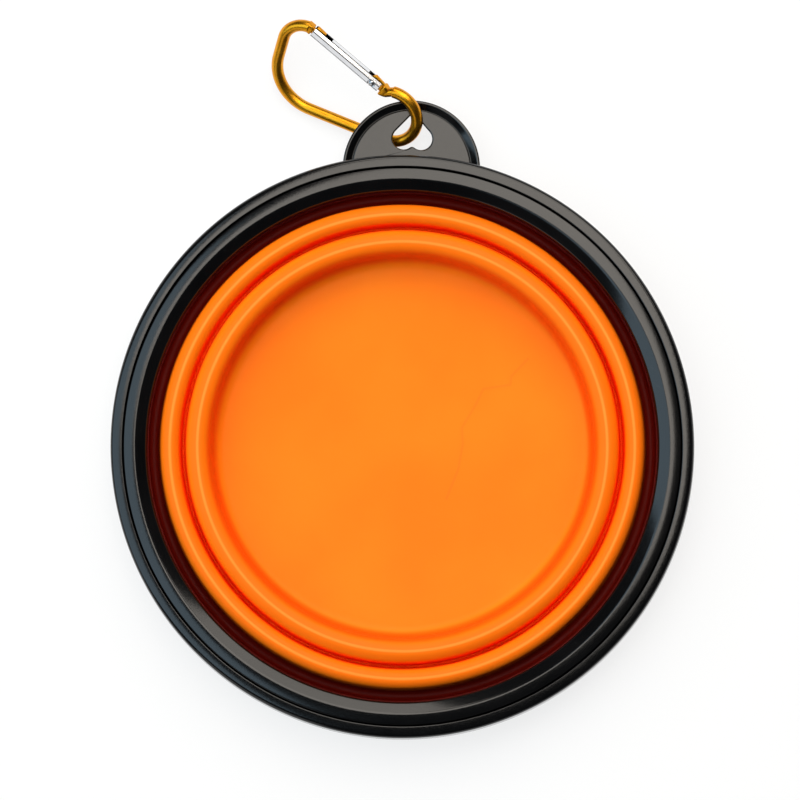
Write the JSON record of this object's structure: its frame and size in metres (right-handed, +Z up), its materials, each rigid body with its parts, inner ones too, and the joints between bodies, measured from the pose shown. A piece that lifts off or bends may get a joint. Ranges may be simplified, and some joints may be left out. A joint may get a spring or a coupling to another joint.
{
  "type": "collapsible travel bowl",
  "caption": "Folding bowl: soft bellows held in a hard rim with a hang tab, and a small spring-gate carabiner clipped through the tab. It pops up ring by ring and folds flat for travel.",
  "frame": {"origin": "middle of the underside of the base, where the bowl stands", "axes": "+Z up along the bowl's axis, +Y from the axis towards the hang tab, +X to the right with the tab at the top"},
  "size_m": [0.1302, 0.159, 0.0143],
  "materials": {
    "bellows": "satin",
    "rim": "semi-gloss",
    "gold_rod": "gold anodised",
    "gate": "polished",
    "pins": "bright"
  },
  "bodies": {
    "base": {"base_cup": "bellows", "lower_web": "bellows"},
    "middle": {"middle_band": "bellows", "upper_web": "bellows"},
    "rim": {"upper_band": "bellows", "rim_clamp_ring": "rim", "rim_carrier_ring": "rim"},
    "carabiner": {"carabiner_body": "gold_rod", "hinge_rivet": "pins"},
    "gate": {"carabiner_gate": "gate", "gate_spring": "pins"},
    "plunger": {"spring_plunger": "pins"}
  },
  "joints": [
    {"name": "lower_fold", "type": "slide", "parent": "base", "child": "middle", "axis": [0, 0, 1], "range_m": [0, 0.02], "deforming": ["lower_web"]},
    {"name": "upper_fold", "type": "slide", "parent": "middle", "child": "rim", "axis": [0, 0, 1], "range_m": [0, 0.02], "deforming": ["upper_web"]},
    {"name": "carabiner_swing", "type": "hinge", "parent": "rim", "child": "carabiner", "pos_m": [-0.01486, 0.07179, 0.00278], "axis": [0.9285, -0.3508, 0.1219], "range_deg": [0, 30]},
    {"name": "gate_open", "type": "hinge", "parent": "carabiner", "child": "gate", "pos_m": [-0.00913, 0.08097, 0.01095], "axis": [-0.3019, -0.5218, 0.7979], "range_deg": [0, 28], "stiffness_Nm_per_rad": 0.03, "springref_deg": -34.38},
    {"name": "plunger_slide", "type": "slide", "parent": "gate", "child": "plunger", "axis": [-0.7828, 0.6133, 0.1049], "range_m": [0, 0.00025], "stiffness_N_per_m": 400, "springref_m": -0.001, "deforming": ["gate_spring"]}
  ]
}
